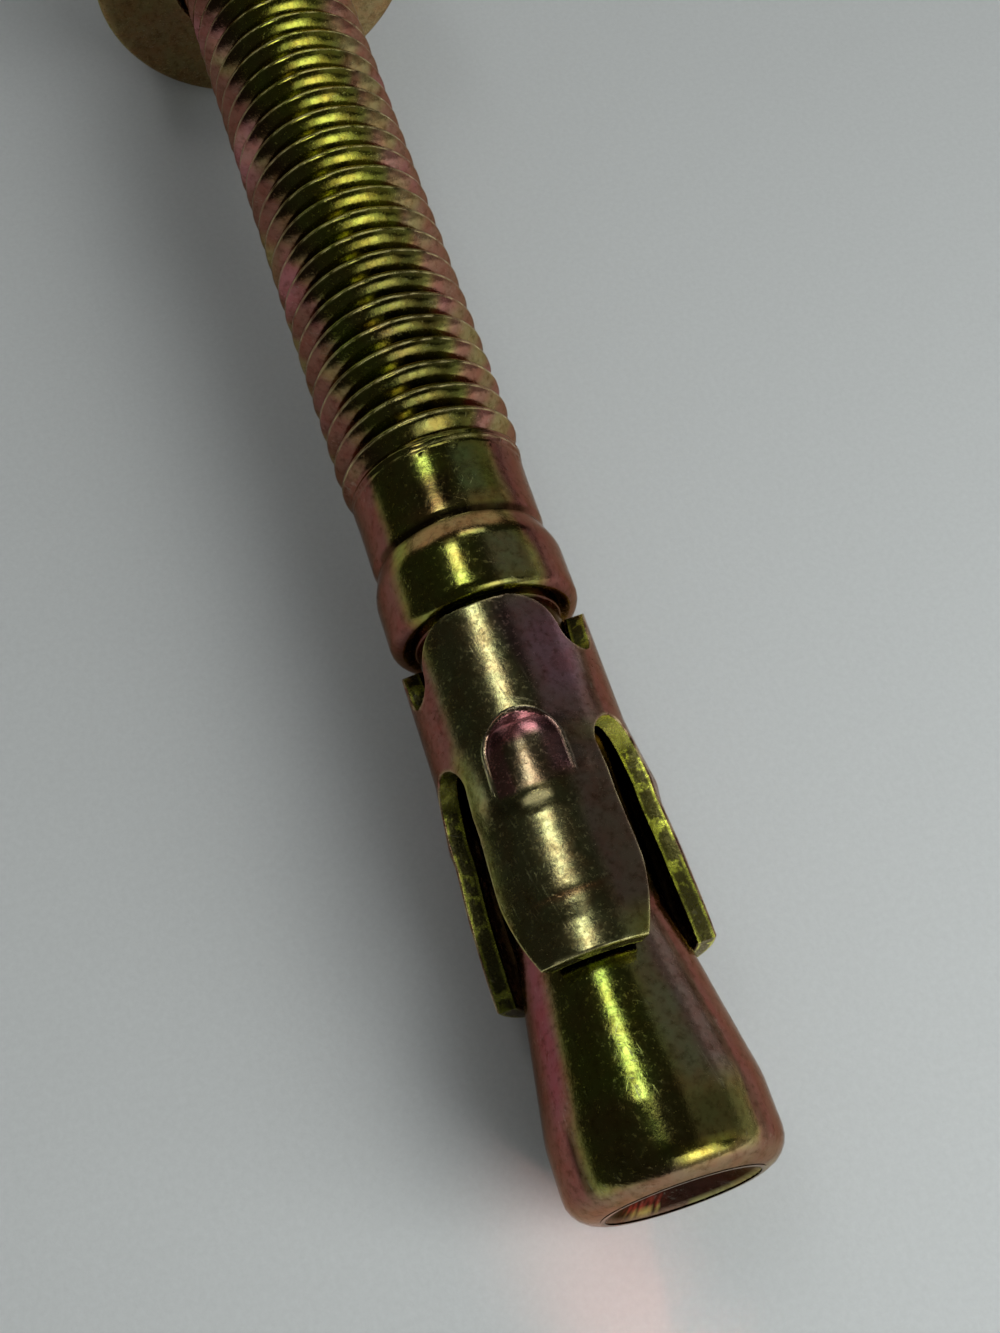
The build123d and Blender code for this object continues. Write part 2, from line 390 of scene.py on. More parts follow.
def panel_heights():
    """Heights of the rows of a panel, closer together where its outline turns."""
    def spread(low, high, count, closer_at=None):
        share = np.linspace(0, 1, count, endpoint=False)
        if closer_at == "low":
            share = 1 - np.cos(pi / 2 * share)
        elif closer_at == "high":
            share = np.sin(pi / 2 * share)
        return low + (high - low) * share

    slot_arc = slot_length - slot_width / 2
    notch_bottom = clip_length - notch_depth
    notch_arc = notch_bottom + notch_width / 2
    corner_start = clip_length - panel_corner_radius
    arch_top = arch_base + arch_height + 0.2
    return np.concatenate((
        spread(0, tip_taper_length, 24, "low"),
        spread(tip_taper_length, arch_base - 0.3, 20),
        spread(arch_base - 0.3, slot_arc, 20),
        spread(slot_arc, slot_length, 26, "high"),
        spread(slot_length, arch_top, 16),
        spread(arch_top, notch_bottom, 14, "high"),
        spread(notch_bottom, notch_arc, 11, "low"),
        spread(notch_arc, corner_start, 3),
        spread(corner_start, clip_length, 16, "high"),
        (clip_length,),
    ))


def bent_line(bends, height):
    """How far the middle of the sheet stands out, and its slope, at heights above the tip."""
    line = rounded_line([(clip_length, 0, 0), *bends, (0, tip_lift, 0)], step=0.2)[::-1]
    nudge = 0.02
    shifts = (-nudge, 0, nudge)
    low, lift, high = (np.interp(height + shift, line[:, 0], line[:, 1]) for shift in shifts)
    return lift, (high - low) / (2 * nudge)


def sheet_line(height, sideways):
    """Lift and slope of the sheet, creased in the middle of a finger and smooth at its sides."""
    crease_lift, crease_slope = bent_line(crease_bends, height)
    edge_lift, edge_slope = bent_line(edge_bends, height)
    share = smooth(crease_half_width, edge_half_width, np.abs(sideways))
    lift = crease_lift + (edge_lift - crease_lift) * share
    return lift, crease_slope + (edge_slope - crease_slope) * share


def inside_arch(height, sideways):
    """Distance from the arch's outline into its tongue, less than 0 outside it."""
    round_centre = arch_base + arch_height - arch_width / 2
    return arch_width / 2 - np.hypot(sideways, np.clip(height - round_centre, 0, None))


def arch_press(height, sideways):
    """How far a finger's outside is pressed in: low at the arch's outline, raised mid-tongue."""
    share = np.clip((arch_base + arch_height - height) / arch_height, 0, 1)
    inside = inside_arch(height, sideways)
    outer_share = (1 - np.clip(inside / (arch_width / 2), 0, 1)) ** 2
    press = (arch_depth + arch_rise) * outer_share - arch_rise
    return press * (1 - share**2) * smooth(0.0, arch_edge_width, inside)


def panel_walls(upper, lower, rows, columns, open_left, open_right):
    """Cut faces between two layers of a panel's points: its open sides, its tip and its top."""
    left = np.nonzero(open_left[:-1] | open_left[1:])[0] * columns
    rightmost = np.nonzero(open_right[:-1] | open_right[1:])[0] * columns + columns - 1
    tip = np.arange(columns - 1)
    top = (rows - 1) * columns + tip
    walls = []
    for spot, step, flip in (
        (left, columns, False),
        (rightmost, columns, True),
        (tip, 1, False),
        (top, 1, True),
    ):
        ring = (upper + spot, upper + spot + step, lower + spot + step, lower + spot)
        wall = np.stack(ring, -1)
        walls.append(wall[:, ::-1] if flip else wall)
    return walls


def make_clip():
    """The sheet with its three fingers, which share its upper band, open at the seam.

    A panel is a finger with its share of the band. Its points lie in three layers: the outside,
    the middle of the sheet and the inside.
    """
    heights = panel_heights()
    across_arch = np.linspace(0, 0.58, 31)
    beside_arch = 0.58 + 0.42 * np.sin(pi / 2 * np.linspace(0, 1, 16)[1:])
    share = np.concatenate((across_arch, beside_arch))
    share = np.concatenate((-share[:0:-1], share))
    rows, columns = len(heights), len(share)
    size = rows * columns
    side_lift = bent_line(edge_bends, heights)[0]
    outside = band_radius + sheet_thickness / 2
    points, faces, wear_and_highlight_marks, is_cut = [], [], [], []
    for number in range(finger_count):
        middle_angle = radians(clip_turn) + 2 * pi / finger_count * number
        seam_side = {1: 1, 2: -1}.get(number, 0)
        left = panel_half_angle(heights, side_lift, seam_side == -1)
        rightwards = panel_half_angle(heights, side_lift, seam_side == 1)
        angle = np.where(share < 0, left[:, None], rightwards[:, None]) * share
        sideways = angle * (outside + side_lift[:, None])
        height = np.broadcast_to(heights[:, None], angle.shape)
        lift, steep = sheet_line(height, sideways)
        left_gap = half_gap(heights, seam_side == -1)
        right_gap = half_gap(heights, seam_side == 1)
        border = np.concatenate((
            np.stack((sideways[left_gap > 0, 0], heights[left_gap > 0]), -1),
            np.stack((sideways[right_gap > 0, -1], heights[right_gap > 0]), -1),
            np.stack((sideways[-1], height[-1]), -1),
            np.stack((sideways[0], height[0]), -1),
        ))
        gap = np.hypot(sideways[..., None] - border[:, 0], height[..., None] - border[:, 1]).min(-1)
        into_edge = np.clip(panel_edge_round - gap, 0, panel_edge_round)
        rounded = np.sqrt(panel_edge_round**2 - into_edge**2)
        half = sheet_thickness / 2 - panel_edge_round + rounded
        tilt_back = 1 / np.sqrt(1 + steep**2)
        middle_radius = band_radius + lift
        turned = middle_angle + angle
        station = clip_tip + height
        dents = panel_dents * (1 + ripple(21, turned, station, 6, 5.0))

        def layer(offset, press=0.0):
            radius = middle_radius + offset * tilt_back - press - dents
            return place(radius, turned, station - offset * steep * tilt_back)

        layers = np.stack((layer(half, arch_press(height, sideways)), layer(0.0), layer(-half)))
        points.append(layers.reshape(-1, 3))
        edge_breaks = np.clip(0.3 + ripple(22, turned, station, 40, 1.2), 0, 0.7)
        from_bump = np.hypot(
            (height - bump_height) / bump_half_height,
            (sideways - bump_sideways) / bump_half_width,
        )
        # Pale edges of the panels, broken up: wear and painted highlight
        wear_and_highlight = np.exp(-((gap / 0.1) ** 2)) * edge_breaks
        wear_and_highlight = np.maximum(wear_and_highlight, 0.85 * (1 - smooth(0.6, 1.2, from_bump)))
        wear_and_highlight_marks.append(np.concatenate((wear_and_highlight.ravel(), np.zeros(2 * size))))
        start = 3 * size * number
        sheet_faces = [
            grid_faces(rows, columns, offset=start),
            grid_faces(rows, columns, offset=start + 2 * size)[:, ::-1],
        ]
        walls = []
        for upper in (start, start + size):
            is_open = left_gap > least_gap, right_gap > least_gap
            walls += panel_walls(upper, upper + size, rows, columns, *is_open)
        faces += sheet_faces + walls
        is_cut += [np.zeros(len(part), bool) for part in sheet_faces]
        is_cut += [np.ones(len(part), bool) for part in walls]
    marks = {
        "inner": np.tile(np.repeat((0.0, 0.0, 1.0), size), finger_count),
        "across": np.tile(np.repeat((0.0, 0.5, 1.0), size), finger_count),
        "wear_and_highlight": np.concatenate(wear_and_highlight_marks),
    }
    faces, is_cut = np.concatenate(faces), np.concatenate(is_cut)
    return solid("clip_sheet", np.concatenate(points), faces, 38, marks, is_cut)


def make_washer():
    """Punched disc: a rolled outer rim, a flat face on both sides and a plain hole."""
    columns = 200
    outer, hole = washer_diameter / 2, washer_hole_diameter / 2
    back = washer_front + washer_thickness
    profile = rounded_line((
        (washer_front + washer_thickness / 2, hole, 0),
        (washer_front, hole, 0.2),
        (washer_front, outer, 0.45),
        (back, outer, 0.3),
        (back, hole, 0.1),
        (washer_front + washer_thickness / 2, hole, 0),
    ), step=0.35)
    angle = np.linspace(0, 2 * pi, columns, endpoint=False)[None, :]
    station, radius = profile[:, :1], profile[:, 1:]
    worn = 0.02 * (1 + ripple(31, angle, station, 9, 3.0)) * smooth(outer - 1.0, outer, radius)
    points = place(radius - worn, angle, station)
    faces = grid_faces(len(profile), columns, wrap=True)
    return solid("washer_disc", points.reshape(-1, 3), faces, 50)


def hexagon_radius(angle, corner_round):
    """Distance to the side of the nut at an angle, with its upright edges rounded."""
    flat = nut_across_flats / 2
    turn = np.mod(angle, pi / 3) - pi / 6
    away = pi / 6 - np.abs(turn)
    straight = flat / np.cos(turn)
    centre = flat / cos(pi / 6) - corner_round / cos(pi / 6)
    sideways = centre * np.sin(away)
    rounded = centre * np.cos(away) + np.sqrt(np.clip(corner_round**2 - sideways**2, 0, None))
    arc_half = np.arctan2(corner_round * sin(pi / 6), centre + corner_round * cos(pi / 6))
    return np.where(away < arc_half, rounded, straight)


def make_nut():
    """Hexagon nut: both faces chamfered, its bore with a thread in step with the stud's."""
    columns, steps = 216, 12
    face_radius = nut_across_flats / 2 * nut_face_share
    bore = thread_diameter / 2 + nut_bore_clearance
    mouth = bore + nut_mouth_widening
    back = nut_front + nut_height
    angle = np.linspace(0, 2 * pi, columns, endpoint=False)
    side = hexagon_radius(angle - radians(nut_turn), nut_corner_round)
    drop = (side - face_radius) * tan(radians(nut_chamfer_angle))
    rounded_drop = drop * 0.97 + nut_rim_round

    def flat(share, station):
        return mouth + (face_radius - mouth) * share + 0 * angle, station + 0 * angle

    def chamfer(share, station, towards):
        return face_radius + (side - face_radius) * share, station + towards * drop * share

    upright = nut_height - 2 * drop
    rings = [flat(share, nut_front) for share in (0, 0.5, 0.97)]
    rings += [chamfer(share, nut_front, 1) for share in (0.05, 0.5, 0.93)]
    rings += [(side, nut_front + rounded_drop)]
    rings += [(side, nut_front + drop + upright * share) for share in (0.15, 0.5, 0.85)]
    rings += [(side, back - rounded_drop)]
    rings += [chamfer(share, back, -1) for share in (0.93, 0.5, 0.05)]
    rings += [flat(share, back) for share in (0.97, 0.5, 0)]
    outer = np.stack([place(radius, angle, station) for radius, station in rings])

    first = int(np.floor((nut_front - thread_start - thread_phase) / thread_pitch)) - 1
    turns = int(np.ceil(nut_height / thread_pitch)) + 2
    share = np.arange(0, turns * steps + 1)[:, None] / steps
    column = np.arange(columns)[None, :] / columns
    station = thread_start + thread_phase + thread_pitch * (first + share + column)
    rise = 1 - 2 * np.abs(share % 1.0 - 0.5)
    radius = bore - nut_thread_depth * (1 - smooth(0.05, 0.95, rise))
    from_mouth = np.minimum(station - nut_front, back - station)
    radius = np.maximum(radius, mouth - np.clip(from_mouth, 0, None))
    station = np.clip(station, nut_front, back)
    radius = np.where((station <= nut_front) | (station >= back), mouth, radius)
    inner = place(radius, angle[None, :], station)

    rows, start = len(share), len(outer) * columns
    faces = (
        grid_faces(len(outer), columns, wrap=True),
        grid_faces(rows, columns, offset=start)[:, ::-1],
        spiral_seam(rows, columns, steps, start)[:, ::-1],
    )
    points = np.concatenate((outer.reshape(-1, 3), inner.reshape(-1, 3)))
    return solid("nut_body", points, np.concatenate(faces), 35)


# Plating colours, as what the metal reflects straight on, and colours of painted light and shade
olive = (0.46, 0.42, 0.13)
green_gold = (0.46, 0.56, 0.09)
khaki = (0.60, 0.59, 0.29)
pink = (0.29, 0.115, 0.095)
beige = (0.31, 0.18, 0.11)
mauve = (0.42, 0.27, 0.28)
grey_green = (0.42, 0.43, 0.26)
orange = (0.95, 0.60, 0.26)
# Painted shade, for the neck under the clip, the inside of the clip's sheet and the thread's roots
painted_shade = (0.035, 0.022, 0.012)
wear_and_highlight_gold = (0.86, 0.75, 0.36)
rose = (0.38, 0.20, 0.13)
# Painted shade inside the dish, and its painted glints
dish_painted_shade = (0.04, 0.018, 0.012)
dish_glint_red = (0.60, 0.09, 0.06)
dish_glint_gold = (0.85, 0.72, 0.20)
thread_end_colour = (0.42, 0.33, 0.13)
flank_green = (0.40, 0.35, 0.14)
flank_pink = (0.50, 0.19, 0.21)
arch_wall_reflection = (0.95, 0.72, 0.56)
arch_lip_wear_and_highlight = (0.80, 0.68, 0.52)
cut_colour = (0.17, 0.16, 0.045)
cut_highlight = (0.92, 0.98, 0.14)
cut_glint = (1.0, 1.0, 0.20)
cloud_colour = (1.0, 0.80, 0.78)
stain_colour = (0.50, 0.46, 0.38)
scratch_colour = (0.75, 0.72, 0.58)
glancing_tint = (0.72, 0.60, 0.50)
paper_colour = (0.60, 0.635, 0.63)
all_round = (-400, 400)

# Stations of the glint on the clip's cut faces
glint_start = 19.9
glint_end = 21.5
glint_soft = 0.4

# Patches: station from and to, angle from and to, soft borders of both, colour and strength.
# Angles are in degrees from the side of the stud that the photo looks at.
stud_patches = (
    (-1.0, 4.5, -33, 46, 0.8, 5, olive, 0.9),
    # Yellow-green along the ceiling lamp's streak: painted highlight colour
    (4.0, 11.0, -9, 5, 1.0, 4, (0.36, 0.50, 0.09), 0.8),
    # Grey-green, then mauve, towards the right side: painted glancing sheen
    (4.0, 11.5, 16, 32, 1.0, 5, grey_green, 0.7),
    (4.0, 11.5, 30, 46, 1.0, 5, mauve, 0.8),
    # Thin dark line on the right side: painted reflection of a dark line in the room
    (2.5, 12.0, 47, 53, 1.0, 2, (0.12, 0.08, 0.05), 0.85),
    # The same dark line near the cone end: painted reflection
    (-1.0, 3.4, 50, 57, 1.2, 3, (0.13, 0.09, 0.05), 0.6),
    # Bright spot on the rounded rim: painted highlight
    (0.7, 1.6, 4, 30, 0.2, 5, (0.94, 0.94, 0.16), 0.9),
    (1.7, 3.4, 14, 40, 0.3, 4, (0.22, 0.22, 0.07), 0.7),
    # Bright green-gold along the streak near the rim: painted highlight
    (1.6, 4.4, -4, 4, 0.4, 2, (0.48, 0.62, 0.12), 0.8),
    # Deeper pink on the left side: painted glancing sheen
    (4.0, 12.0, -58, -38, 1.0, 6, (0.34, 0.09, 0.12), 0.7),
    (0.9, 4.0, -50, -45, 0.5, 2, (0.06, 0.03, 0.02), 0.9),
    (-2.0, 1.05, *all_round, 0.25, 6, (0.37, 0.235, 0.16), 0.9),
    (-2.0, 0.5, 80, 185, 0.2, 8, (0.50, 0.46, 0.18), 0.9),
    # Painted shade on the neck under the clip
    (12.6, 28.5, *all_round, 0.5, 6, painted_shade, 1.0),
    (31.9, 33.0, -28, 40, 0.2, 6, orange, 0.8),
    # Painted shade in the groove
    (33.05, 33.45, -60, 60, 0.06, 8, (0.08, 0.04, 0.02), 0.9),
    (33.5, 34.3, -25, 40, 0.25, 6, orange, 0.4),
    # Darker where the streak crosses the plain part: painted shade that dims the highlight
    (33.8, 35.5, -16, 8, 0.35, 5, (0.13, 0.11, 0.04), 0.85),
    # Yellow-green under the highlight spot on the plain part: painted highlight
    (35.6, 36.9, -14, 8, 0.3, 4, (0.44, 0.60, 0.10), 0.8),
    (34.0, 37.0, 12, 32, 0.5, 5, (0.36, 0.50, 0.20), 0.7),
    (29.0, 31.6, 12, 36, 0.6, 6, grey_green, 0.6),
    # Yellow on the thread where the lamps' highlights fall: painted highlight colour
    (50.0, 94.0, -16, 36, 3.0, 7, (0.50, 0.54, 0.07), 0.8),
    # Darker on the first turns of the thread, right of the streak: painted shade that dims the
    # highlights
    (37.5, 50.0, 2, 36, 3.0, 6, (0.17, 0.17, 0.035), 0.85),
    # Darker on the thread's left side: painted shade
    (37.5, 94.0, -80, -31, 1.0, 7, (0.23, 0.11, 0.075), 0.75),
    # Lighter rose on the thread's right side: painted light
    (37.5, 94.0, 44, 90, 1.0, 6, rose, 0.8),
)
clip_patches = (
    (9.0, 29.0, -36, 20, 0.5, 8, khaki, 0.8),
    (20.5, 28.4, 10, 46, 1.2, 7, (0.40, 0.24, 0.27), 0.85),
    # Thin dark line on the right side: painted reflection of a dark line in the room
    (21.0, 28.2, 47, 54, 0.8, 2, (0.12, 0.08, 0.05), 0.7),
    (22.6, 26.6, 22, 44, 0.9, 6, (0.56, 0.29, 0.37), 0.7),
    (13.05, 13.25, -20, 14, 0.08, 4, orange, 0.8),
    (11.6, 20.3, 14, 46, 0.9, 6, (0.26, 0.17, 0.16), 0.85),
    (17.5, 18.1, -30, -12, 0.3, 4, (0.20, 0.17, 0.08), 0.7),
)
washer_patches = (
    # Darker on the left of the washer's front and brighter on its right: painted shade and light
    (70.0, 77.15, -200, 5, 0.1, 8, (0.27, 0.205, 0.08), 0.9),
    (70.0, 77.15, 5, 200, 0.1, 8, (0.62, 0.48, 0.22), 0.8),
    (77.2, 80.0, -200, 200, 0.1, 8, (0.42, 0.45, 0.12), 0.8),
)

# Patches on each arch: height from and to, sideways from and to, soft border, colour, strength.
arch_patches = (
    (7.9, 12.2, -2.1, 2.1, 0.15, (0.42, 0.30, 0.20), 0.7),
    # Pink strip on the tongue's left: painted reflection
    (7.9, 12.2, -2.1, -0.95, 0.15, (0.74, 0.38, 0.33), 0.95),
    # Bright pink crescent at the top of the tongue: painted reflection
    (10.4, 12.2, -2.1, 1.6, 0.3, (1.0, 0.40, 0.44), 0.9),
    (8.2, 11.2, 0.9, 2.1, 0.3, (0.48, 0.25, 0.28), 0.8),
    (10.5, 11.2, -1.6, -0.7, 0.2, (0.22, 0.10, 0.09), 0.8),
)


def blend(colour, other, share):
    """Colours moved towards another colour by a share for each point."""
    return colour + (np.array(other) - colour) * np.clip(share, 0, 1)[:, None]


def smooth_band(value, low, high, soft):
    """1 between low and high, and falling to 0 over a soft border on both sides."""
    return smooth(low - soft, low + soft, value) * (1 - smooth(high - soft, high + soft, value))


def paint_arches(piece, colour, cloud, radius, angle, station):
    """Colours of the clip with the tints of its arches, and painted shade on the inside of its
    sheet.
    """
    panel = 2 * pi / finger_count
    turned = (angle - radians(clip_turn) + panel / 2) % panel - panel / 2
    height, sideways = station - clip_tip, turned * radius
    inside = inside_arch(height, sideways)
    on_tongue = smooth(0.02, 0.14, inside)
    for low, high, left, rightmost, soft, patch_colour, strength in arch_patches:
        share = smooth_band(height + 0.15 * cloud, low, high, soft)
        share = share * smooth_band(sideways, left, rightmost, soft)
        colour = blend(colour, patch_colour, strength * share * on_tongue)
    # Pale wall just inside each arch's outline: painted reflection
    wall = smooth_band(inside, 0.0, 0.08, 0.05) * smooth(arch_base, arch_base + 0.6, height)
    colour = blend(colour, arch_wall_reflection, 0.6 * wall)
    inner = np.zeros(len(colour))
    piece.data.attributes["inner"].data.foreach_get("value", inner)
    # Painted shade on the inside of the sheet
    return blend(colour, painted_shade, inner)


def paint(piece, patches):
    """Broad colours of the plating, kept with the mesh: pink low on the sides as painted glancing
    sheen, then patches, some of them painted light and shade.
    """
    count = len(piece.data.vertices)
    points = np.zeros(count * 3)
    piece.data.vertices.foreach_get("co", points)
    radius, angle, station = unplace(points.reshape(-1, 3) / MM)
    facing = (np.degrees(angle) + facing_turn + 180) % 360 - 180
    cloud = ripple(41, angle, station, 6, 7.0) + 0.6 * ripple(42, angle, station, 14, 2.5)
    colour = blend(np.tile(olive, (count, 1)), green_gold, 0.5 + 0.7 * cloud)
    # Pink, then beige, away from the side the camera looks at: painted glancing sheen
    low = np.abs(facing) + 9 * cloud
    colour = blend(colour, pink, smooth(36, 50, low))
    colour = blend(colour, beige, smooth(62, 95, low) * 0.7)
    for first, last, left, rightmost, soft, soft_angle, patch_colour, strength in patches:
        share = smooth_band(station + 0.12 * cloud, first, last, soft)
        share = share * smooth_band(facing + 6 * cloud, left, rightmost, soft_angle)
        colour = blend(colour, patch_colour, strength * share)

    # Painted shade inside the dish, with painted glints of red and gold on one side
    in_dish = (station < 2 * dish_depth) & (radius < dish_diameter / 2 - 0.12)
    colour = blend(colour, dish_painted_shade, in_dish.astype(float))
    glint = in_dish * smooth_band(facing + 8 * cloud, -162, -122, 8)
    glint = glint * smooth(-0.15, 0.35, ripple(46, angle, station, 60, 0.6))
    deep, shallow = smooth_band(station, 0.45, 0.85, 0.15), smooth_band(station, 0.15, 0.45, 0.1)
    colour = blend(colour, dish_glint_red, glint * 0.7 * deep)
    colour = blend(colour, dish_glint_gold, glint * 0.8 * shallow)

    on_thread = (station > thread_start + 1) & (station < anchor_length - 0.5)
    on_thread = on_thread & (radius < thread_diameter / 2 + 0.01)
    # Painted shade in the thread's roots
    colour = blend(colour, painted_shade, 0.6 * (1 - smooth(4.15, 4.45, radius)) * on_thread)
    on_end = (station > anchor_length - 1) & (radius < thread_diameter / 2 - 0.7)
    colour = blend(colour, thread_end_colour, 0.9 * on_end)
    # Green and pink patches on the thread's sides: part of the painted glancing sheen
    flank = smooth(30, 50, np.abs(facing)) * on_thread
    green = smooth(0.05, 0.35, ripple(45, angle, station, 7, 5.0))
    colour = blend(colour, flank_green, 0.8 * flank * green)
    red = smooth(0.1, 0.4, ripple(47, angle, station, 5, 6.0))
    colour = blend(colour, flank_pink, 0.7 * flank * red)

    if "inner" in piece.data.attributes:
        colour = paint_arches(piece, colour, cloud, radius, angle, station)
    layer = piece.data.color_attributes.new("tint", "FLOAT_COLOR", "POINT")
    opaque = np.column_stack((colour, np.ones(count)))
    layer.data.foreach_set("color", opaque.astype(np.float32).ravel())


def add(tree, kind, settings=None, **inputs):
    """Shader node of a kind, with settings and inputs.

    An input is named with underscores, or i and its number, and is a value or another's output.
    """
    node = tree.nodes.new("ShaderNode" + kind)
    for name, value in (settings or {}).items():
        setattr(node, name, value)
    for name, value in inputs.items():
        numbered = name[1:].isdigit()
        socket = node.inputs[int(name[1:]) if numbered else name.replace("_", " ")]
        if isinstance(value, bpy.types.NodeSocket):
            tree.links.new(value, socket)
        else:
            socket.default_value = value
    return node


def noise(tree, where, scale, detail=3.0, roughness=0.6):
    """Noise with a scale in waves a millimetre."""
    node = add(tree, "TexNoise", Vector=where, Scale=scale, Detail=detail, Roughness=roughness)
    return node.outputs["Fac"]


def ranged(tree, value, low, high, out_low=0.0, out_high=1.0):
    """Value moved from one range to another and kept inside it."""
    limits = {"From_Min": low, "From_Max": high, "To_Min": out_low, "To_Max": out_high}
    return add(tree, "MapRange", Value=value, **limits).outputs["Result"]


def maths(tree, operation, first, second=0.0, third=0.0):
    """One sum on numbers or outputs."""
    return add(tree, "Math", {"operation": operation}, i0=first, i1=second, i2=third).outputs[0]


def times(tree, first, second):
    """Product of two numbers or outputs."""
    return maths(tree, "MULTIPLY", first, second)


def vector_maths(tree, operation, **inputs):
    """One sum on vectors, as the node that has its outputs."""
    return add(tree, "VectorMath", {"operation": operation}, **inputs)


def dot(tree, where, direction):
    """Length of a point's place along a direction."""
    return vector_maths(tree, "DOT_PRODUCT", i0=where, i1=tuple(direction)).outputs["Value"]


def object_place(tree):
    """Place of a point on its object, in millimetres."""
    where = add(tree, "TexCoord").outputs["Object"]
    return vector_maths(tree, "SCALE", i0=where, Scale=1 / MM).outputs[0]


def from_cone_end(tree, place_mm):
    """Place of a point from the middle of the stud's cone end."""
    return vector_maths(tree, "SUBTRACT", i0=place_mm, i1=tuple(cone_end)).outputs[0]


def arch_edge(tree, place_mm):
    """Distance inside the outline of a finger's arch, with a mask that ends at the arch's base."""
    away = from_cone_end(tree, place_mm)
    turned = maths(tree, "ARCTAN2", dot(tree, away, right), dot(tree, away, up))
    turned = maths(tree, "SUBTRACT", turned, radians(clip_turn))
    turned = maths(tree, "WRAP", turned, pi / finger_count, -pi / finger_count)
    height = maths(tree, "SUBTRACT", dot(tree, away, along), clip_tip)
    outside = band_radius + sheet_thickness / 2
    bend_top, bend_bottom = edge_bends[0][0], edge_bends[1][0]
    bulge = edge_bends[1][1]
    radius = ranged(tree, height, bend_top, bend_bottom, outside, outside + bulge)
    sideways = times(tree, turned, radius)
    round_centre = arch_base + arch_height - arch_width / 2
    over = maths(tree, "MAXIMUM", maths(tree, "SUBTRACT", height, round_centre))
    sideways_squared = maths(tree, "POWER", maths(tree, "ABSOLUTE", sideways), 2.0)
    squares = maths(tree, "ADD", sideways_squared, maths(tree, "POWER", over, 2.0))
    inside = maths(tree, "SUBTRACT", arch_width / 2, maths(tree, "SQRT", squares))
    return inside, ranged(tree, height, arch_base - 0.1, arch_base + 0.7)


def mixed(tree, share, colour, other, mode="MIX"):
    """Two colours mixed by a share; a plain colour is given as its three numbers."""
    colour, other = ((*part, 1) if isinstance(part, tuple) else part for part in (colour, other))
    settings = {"data_type": "RGBA", "blend_type": mode}
    return add(tree, "Mix", settings, i0=share, i6=colour, i7=other).outputs[2]


def scratches(tree, where, turn, spacing, threshold):
    """Thin straight scratches at an angle to the stud, in degrees, as a mask."""
    stretched = add(
        tree,
        "Mapping",
        {"vector_type": "TEXTURE"},
        Vector=where,
        Rotation=(pi / 2, 0, radians(turn)),
        Scale=(1 / spacing, 1 / spacing, 30 / spacing),
    ).outputs[0]
    lines = noise(tree, stretched, 1.0, 2.0, 0.5)
    broken = noise(tree, where, 0.5, 2.0)
    sharp = ranged(tree, lines, threshold, threshold + 0.04)
    return times(tree, sharp, ranged(tree, broken, 0.42, 0.7))


def cut_edge_colour(tree, place_mm, cloud):
    """Colour of the sheet's cut faces: dark, with brighter patches and rims as painted highlights,
    one painted glint, and painted shade on the left.
    """
    across = add(tree, "Attribute", {"attribute_name": "across"}).outputs["Fac"]
    from_middle = maths(tree, "ABSOLUTE", maths(tree, "SUBTRACT", across, 0.5))
    # Brighter rims and patches: painted highlights
    at_rim = ranged(tree, from_middle, 0.30, 0.42)
    patchy = times(tree, at_rim, ranged(tree, cloud, 0.35, 0.5))
    patchy = maths(tree, "MAXIMUM", patchy, ranged(tree, cloud, 0.54, 0.60))
    colour = mixed(tree, patchy, cut_colour, cut_highlight)
    station = dot(tree, from_cone_end(tree, place_mm), along)
    from_glint = ranged(tree, station, glint_start, glint_start + glint_soft)
    to_glint = ranged(tree, station, glint_end, glint_end - glint_soft)
    # Painted glint
    colour = mixed(tree, times(tree, from_glint, to_glint), colour, cut_glint)
    # Darker on the left side: painted shade
    side = ranged(tree, dot(tree, place_mm, right), -3.0, 3.0, 0.38, 1.0)
    return mixed(tree, 1.0, colour, side, "MULTIPLY")


